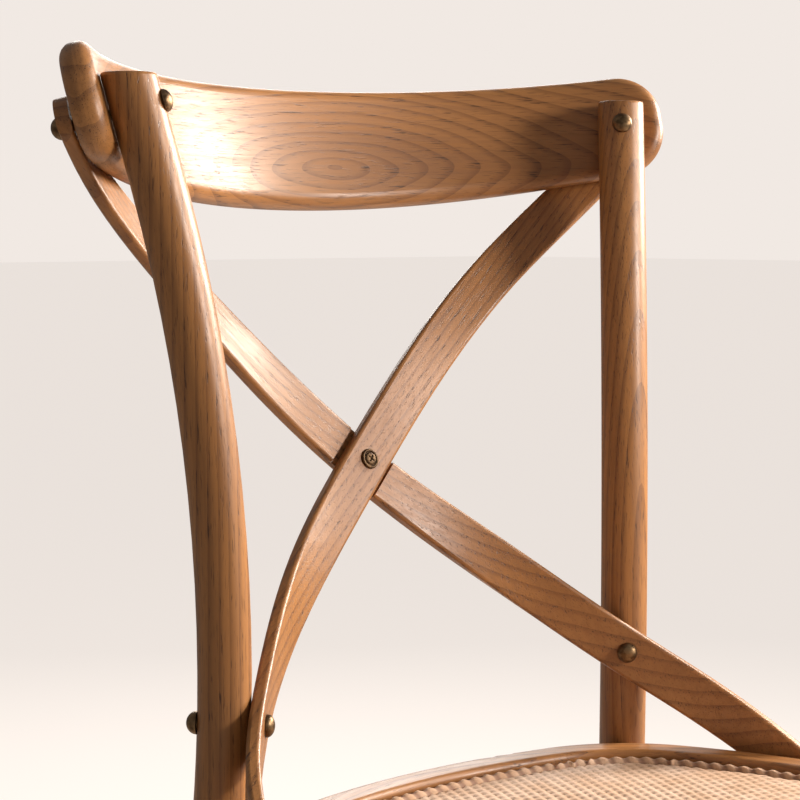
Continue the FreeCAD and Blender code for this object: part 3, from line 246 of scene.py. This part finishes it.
def plain(name, low, high, rough, patch_count, metallic=0.0):
    """Worn metal or moulded plastic: two tones in patches of a few millimetres and fine scuffs.

    The patch count is in a metre.
    """
    made, tree, shader = new_material(name)
    place = add(tree, "TexCoord", {}, "Object")
    patches = add(tree, "TexNoise", {"Vector": place, "Scale": patch_count, "Detail": 4.0}, "Fac")
    scuffs = add(tree, "TexNoise",
                 {"Vector": place, "Scale": SCUFFS_TO_A_PATCH * patch_count, "Detail": 2.0}, "Fac")
    share = add(tree, "MapRange", {"Value": patches, "From Min": 0.35, "From Max": 0.65}, **SOFT)
    fill(tree, shader, {
        "Base Color": layered(tree, low, [(share, high)]),
        "Normal": add(tree, "Bump", {"Height": scuffs, "Strength": 0.2, "Distance": 0.0001}),
        "Roughness": add(tree, "MapRange", {"Value": patches, "From Min": 0.3, "From Max": 0.7,
                                            "To Min": rough, "To Max": rough + 0.15}, **SOFT),
        "Metallic": metallic,
    })
    return made


def fibre_material(name, light, dark, gap_shade):
    """Twisted paper fibre: strands under a millimetre wide, painted shade in the weave's pits and troughs.
    """
    made, tree, shader = new_material(name)
    place = add(tree, "TexCoord", {}, "Object")
    cells = add(tree, "Mapping", {"Vector": place, "Scale": STRANDS})
    strands = add(tree, "TexNoise", {"Vector": cells, "Scale": 1.0, "Detail": 3.0}, "Fac")
    patches = add(tree, "TexNoise", {"Vector": place, "Scale": FIBRE_PATCHES, "Detail": 3.0}, "Fac")
    depth_shade = add(tree, "Attribute", {}, "Fac", attribute_name="gap_shade")
    colour = layered(tree, light, [
        (add(tree, "MapRange", {"Value": patches, "From Min": 0.3, "From Max": 0.7}, **SOFT), dark),
        (add(tree, "MapRange", {"Value": strands, "From Min": 0.4, "From Max": 0.8, "To Max": 0.35}, **SOFT),
         gap_shade),
        # Painted shade: the colour darkens where the mesh's pits and troughs are deep.
        (add(tree, "MapRange", {"Value": depth_shade, "From Min": 0.25, "From Max": 0.9, "To Max": 0.9}, **SOFT),
         gap_shade),
    ])
    fill(tree, shader, {
        "Base Color": colour,
        "Normal": add(tree, "Bump", {"Height": strands, "Strength": 0.4, "Distance": 0.0003}),
        "Roughness": 0.72,
    })
    return made


def outline(node, turns, inner=False):
    """Radii of a seat piece's lowest edge about the seat's centre, one for each turn.

    The radius at a turn is read between the two edge points that lie beside it.
    """
    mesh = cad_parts[node].data
    points = np.empty(len(mesh.vertices) * 3)
    mesh.vertices.foreach_get("co", points)
    points = points.reshape(-1, 3)
    points = points[points[:, 2] < points[:, 2].min() + LEVEL_TOLERANCE]
    away = points[:, :2] - SEAT_CENTRE
    radii = np.hypot(away[:, 0], away[:, 1])
    angles = np.arctan2(away[:, 1], away[:, 0])
    if inner:
        keep = radii < np.interp(angles, turns, outline(node, turns), period=FULL_TURN) - LEAST_BAND
    else:
        bins = np.floor(angles / BIN_TURN).astype(int)
        widest = {number: radii[bins == number].max() for number in np.unique(bins)}
        keep = radii > np.array([widest[number] for number in bins]) - EDGE_SCATTER
    return np.interp(turns, angles[keep], radii[keep], period=FULL_TURN)


def grid_piece(name, points, gap_shade, material, node, capped=True):
    """Makes a piece from a grid of points, to stand for a CAD node.

    Its rows are closed rings. The first and last rings are capped, or else joined to each other.
    """
    rows, columns = points.shape[:2]
    index = np.arange(rows * columns).reshape(rows, columns)
    if not capped:
        index = np.concatenate([index, index[:1]])
    side = np.roll(index, -1, axis=1)
    faces = np.stack([index[:-1], side[:-1], side[1:], index[1:]], axis=-1).reshape(-1, 4).tolist()
    if capped:
        faces += [index[0][::-1].tolist(), index[-1].tolist()]
    mesh = bpy.data.meshes.new(name)
    mesh.from_pydata(points.reshape(-1, 3).tolist(), [], faces)
    # The grid's shade values go into a point attribute, which the fibre materials use as painted shade.
    depth_shade = mesh.attributes.new("gap_shade", "FLOAT", "POINT")
    depth_shade.data.foreach_set("value", gap_shade.reshape(-1).astype(np.float32))
    mesh.shade_smooth()
    mesh.materials.append(material)
    piece = bpy.data.objects.new(name, mesh)
    bpy.context.scene.collection.objects.link(piece)
    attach(piece, "root")
    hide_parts(node)


def woven_mat():
    """Woven mat. Its top is a shallow dome with staggered slits, one pitch apart along a row.

    Every other row is moved by half a pitch. A slit is a smooth pit, and the strands rise between pits.
    """
    low, high = (np.array(corner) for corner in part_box("woven_seat"))
    turns = np.linspace(-math.pi, math.pi, MAT_COLUMNS, endpoint=False)
    edge = outline("woven_seat", turns)
    share = np.linspace(1.0, MAT_MIDDLE, MAT_RINGS)[:, None]
    x = SEAT_CENTRE[0] + share * edge * np.cos(turns)
    y = SEAT_CENTRE[1] + share * edge * np.sin(turns)
    row = np.floor(y / WEAVE_PITCH)
    along = (x / WEAVE_PITCH + 0.5 * np.mod(row, 2)) % 1.0 - 0.5
    across = (y / WEAVE_PITCH) % 1.0 - 0.5
    pit = np.exp(-(along / SLIT_ALONG) ** 2 - (across / SLIT_ACROSS) ** 2)
    swell = np.cos(math.pi * across) * (0.5 - 0.5 * np.cos(FULL_TURN * along))
    dome = high[2] - CROWN_MARGIN - (high[2] - low[2]) * CROWN_FALL * share ** 2
    z = dome - WEAVE_DEPTH * pit + STRAND_SWELL * swell
    top = np.stack([x, y, z], axis=-1)
    foot = top[:1].copy()
    foot[..., 2] = low[2]
    points = np.concatenate([foot, top])
    # The pits' depth is kept as painted shade, which darkens the slits in the mat's colour.
    gap_shade = np.concatenate([np.zeros((1, MAT_COLUMNS)), pit])
    grid_piece("woven_mat", points, gap_shade, WEAVE, "woven_seat")


def plaited_braid():
    """Braid over the mat's edge: a rounded band with two rows of slanted bumps and a groove between them.

    The pitch gives way a little, so that a whole number of bumps goes round.
    """
    low, high = (np.array(corner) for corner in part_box("seat_braid"))
    turns = np.linspace(-math.pi, math.pi, BRAID_COLUMNS, endpoint=False)
    outer = outline("seat_braid", turns)
    inner = outline("seat_braid", turns, inner=True)
    middle = (outer + inner) / 2
    step = np.hypot(np.gradient(middle), middle * (turns[1] - turns[0]))
    run = np.cumsum(step) / BRAID_PITCH
    run = run * round(run[-1]) / run[-1]
    across = np.linspace(0.0, 1.0, BRAID_RINGS)[:, None]
    arch = np.sin(math.pi * np.clip(across, BRAID_SHOULDER, 1.0 - BRAID_SHOULDER)) ** BRAID_ROUNDNESS
    strand = 0.5 + 0.5 * np.sin(FULL_TURN * (run + BRAID_LEAN * np.abs(across - 0.5)))
    groove = np.exp(-((across - 0.5) / GROOVE_WIDTH) ** 2)
    height = arch * (1.0 - BRAID_BUMP + BRAID_BUMP * strand - GROOVE_DEPTH * groove)
    raised = (across > 0.0) & (across < 1.0)
    radius = outer + (inner - outer) * across
    x = SEAT_CENTRE[0] + radius * np.cos(turns)
    y = SEAT_CENTRE[1] + radius * np.sin(turns)
    z = low[2] + (high[2] - low[2]) * height * raised
    # Painted shade: the colour darkens between the bumps and in the groove.
    gap_shade = np.clip(1.0 - strand + 0.5 * groove, 0.0, 1.0)
    points = np.stack([x, y, z], axis=-1)
    grid_piece("plaited_braid", points, gap_shade, BRAID, "seat_braid", capped=False)


def crossing_screw():
    """Screw in a cup washer on the front slat where the slats cross, with a cross-shaped recess.

    From outside in, the height rises to the washer's rim, falls to a groove at the head's edge and rises
    over the dome. The recess is a plus of two bars, a set depth below the dome.
    """
    dome = np.stack([DOME_RADII, np.linspace(*DOME_RISE, len(DOME_RADII))], axis=-1)
    radius, rise = (np.concatenate([CUP_OUTLINE, dome]) * MM).T[..., None]
    turns = np.linspace(0.0, FULL_TURN, SCREW_COLUMNS, endpoint=False)
    x = radius * np.cos(turns)
    y = radius * np.sin(turns)
    bar = np.minimum(np.abs(x + y), np.abs(x - y)) / math.sqrt(2)
    recess = (bar < RECESS_HALF_WIDTH) & (radius < RECESS_REACH)
    height = rise - RECESS_DEPTH * recess
    right = np.array([1.0, 0.0, 0.0])
    up = np.array([0.0, SCREW_OUT[2], -SCREW_OUT[1]])
    points = (np.array(SCREW_SEAT) + x[..., None] * right + y[..., None] * up
              + height[..., None] * np.array(SCREW_OUT))
    grid_piece("crossing_screw_head", points, 1.0 * recess, DARK_BRONZE, "crossing_screw")


# The last colour of each fibre is its dark strands and its painted shade in the pits and troughs.
WEAVE = fibre_material("woven_paper_fibre", light="#DDBFA6", dark="#CDA98A", gap_shade="#6B4A35")
BRAID = fibre_material("plaited_paper_fibre", light="#D6B496", dark="#C39C7A", gap_shade="#94705A")
UPRIGHT = wood("wood_upright", lambda tree: turned_grain(tree, UPRIGHT_TURN), heart=(0.0, 0.11, 0.16))
FRONT_SLAT = wood("wood_front_slat", lambda tree: turned_grain(tree, FRONT_SLAT_TURN), heart=SLAT_HEART)
REAR_SLAT = wood("wood_rear_slat", lambda tree: turned_grain(tree, REAR_SLAT_TURN), heart=SLAT_HEART)
RAIL = wood("wood_rail", lambda tree: hoop_grain(tree, RAIL_CENTRE, RAIL_RADIUS),
            heart=(-0.006, 0.0, -0.835), stretch=0.24, axis="Y", waver=10.0)
HOOP = wood("wood_hoop", lambda tree: hoop_grain(tree, SEAT_CENTRE, HOOP_RADIUS), heart=(0.0, -0.17, -0.50))
PLYWOOD = wood("plywood", lambda tree: turned_grain(tree, 0.0), heart=(0.0, 0.2, -0.6),
               light="#C9A67C", dark="#AD8559")
BRONZE = plain("aged_bronze", "#5C4833", "#8B7254", rough=0.34, patch_count=260.0, metallic=1.0)
DARK_BRONZE = plain("dark_bronze", "#3F3024", "#6B563F", rough=0.42, patch_count=320.0, metallic=1.0)
STEEL = plain("zinc_steel", "#9A9C9E", "#B9BBBD", rough=0.30, patch_count=300.0, metallic=1.0)
PLASTIC = plain("moulded_plastic", "#1C1917", "#2A2623", rough=0.50, patch_count=400.0)

LOOKS = {
    "left_back_post": UPRIGHT, "right_back_post": UPRIGHT, "left_front_leg": UPRIGHT,
    "right_front_leg": UPRIGHT, "crest_rail": RAIL, "front_slat": FRONT_SLAT, "rear_slat": REAR_SLAT,
    "seat_ring": HOOP, "front_arch": UPRIGHT, "rear_arch": UPRIGHT, "left_side_arch": UPRIGHT,
    "right_side_arch": UPRIGHT, "seat_board": PLYWOOD, "woven_seat": WEAVE, "seat_braid": BRAID,
    "crest_bolts": BRONZE, "crest_nuts": BRONZE, "slat_post_bolts": BRONZE, "slat_post_nuts": BRONZE,
    "crossing_screw": BRONZE, "crossing_sleeve_nut": BRONZE, "slat_end_screws": BRONZE,
    "post_seat_bolts": BRONZE, "post_seat_washers": STEEL, "post_seat_nuts": STEEL,
    "brace_end_screws": STEEL, "brace_top_screws": STEEL, "seat_board_screws": STEEL, "foot_glides": PLASTIC,
}
for node, look in LOOKS.items():
    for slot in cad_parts[node].material_slots:
        slot.material = look

woven_mat()
plaited_braid()
crossing_screw()


def pale_floor():
    """Wide pale floor that glows softly to the camera only, so that it meets the background."""
    mesh = bpy.data.meshes.new("floor")
    corners = [(x * FLOOR_REACH, y * FLOOR_REACH, 0.0) for x, y in ((-1, -1), (1, -1), (1, 1), (-1, 1))]
    mesh.from_pydata(corners, [], [(0, 1, 2, 3)])
    floor = bpy.data.objects.new("floor", mesh)
    bpy.context.scene.collection.objects.link(floor)
    made, tree, shader = new_material("pale_floor")
    place = add(tree, "TexCoord", {}, "Object")
    patches = add(tree, "TexNoise", {"Vector": place, "Scale": FLOOR_PATCHES, "Detail": 3.0}, "Fac")
    seen = add(tree, "LightPath", {}, "Is Camera Ray")
    fill(tree, shader, {
        "Base Color": layered(tree, "#C4BCB5", [(patches, "#CCC5BF"), (seen, "#8A8580")]),
        "Roughness": 0.9,
        "Emission Color": linear(BACKGROUND),
        "Emission Strength": add(tree, "Math", {0: seen, 1: FLOOR_GLOW}, operation="MULTIPLY"),
    })
    mesh.materials.append(made)


def sky():
    """Even background, at full strength to the camera and dimmer as a light."""
    world = bpy.data.worlds.new("studio")
    world.use_nodes = True
    tree = world.node_tree
    seen = add(tree, "LightPath", {}, "Is Camera Ray")
    strength = add(tree, "MapRange", {"Value": seen, "To Min": SKY_STRENGTH}, **SOFT)
    fill(tree, tree.nodes["Background"], {"Color": linear(BACKGROUND), "Strength": strength})
    bpy.context.scene.world = world


def area_light(name, place, target, size, power, colour):
    """Square soft light aimed at a point."""
    data = bpy.data.lights.new(name, "AREA")
    data.size = size
    data.energy = power
    data.color = linear(colour)[:3]
    light = bpy.data.objects.new(name, data)
    bpy.context.scene.collection.objects.link(light)
    light.location = place
    aim = np.array(target) - np.array(place)
    fall = math.atan2(math.hypot(aim[0], aim[1]), -aim[2])
    light.rotation_euler = (fall, 0.0, math.atan2(-aim[0], aim[1]))


def camera():
    """The photograph's camera."""
    data = bpy.data.cameras.new("camera")
    data.lens = LENS
    data.sensor_width = SENSOR_WIDTH
    made = bpy.data.objects.new("camera", data)
    bpy.context.scene.collection.objects.link(made)
    made.location = CAMERA_PLACE
    made.rotation_euler = (math.pi / 2 - CAMERA_FALL, 0.0, CAMERA_TURN)
    bpy.context.scene.camera = made


pale_floor()
sky()
area_light("key", place=(1.6, -0.2, 1.3), target=(0.0, 0.1, 0.75), size=0.6, power=60.0, colour="#FFF3E6")
area_light("front", place=(1.15, -1.7, 1.3), target=(0.0, 0.1, 0.7), size=0.5, power=40.0, colour="#FFF6EE")
area_light("back", place=(1.3, 1.9, 1.5), target=(0.0, 0.1, 0.7), size=1.0, power=22.0, colour="#FFFAF4")
camera()
bpy.context.scene.view_settings.view_transform = "Standard"
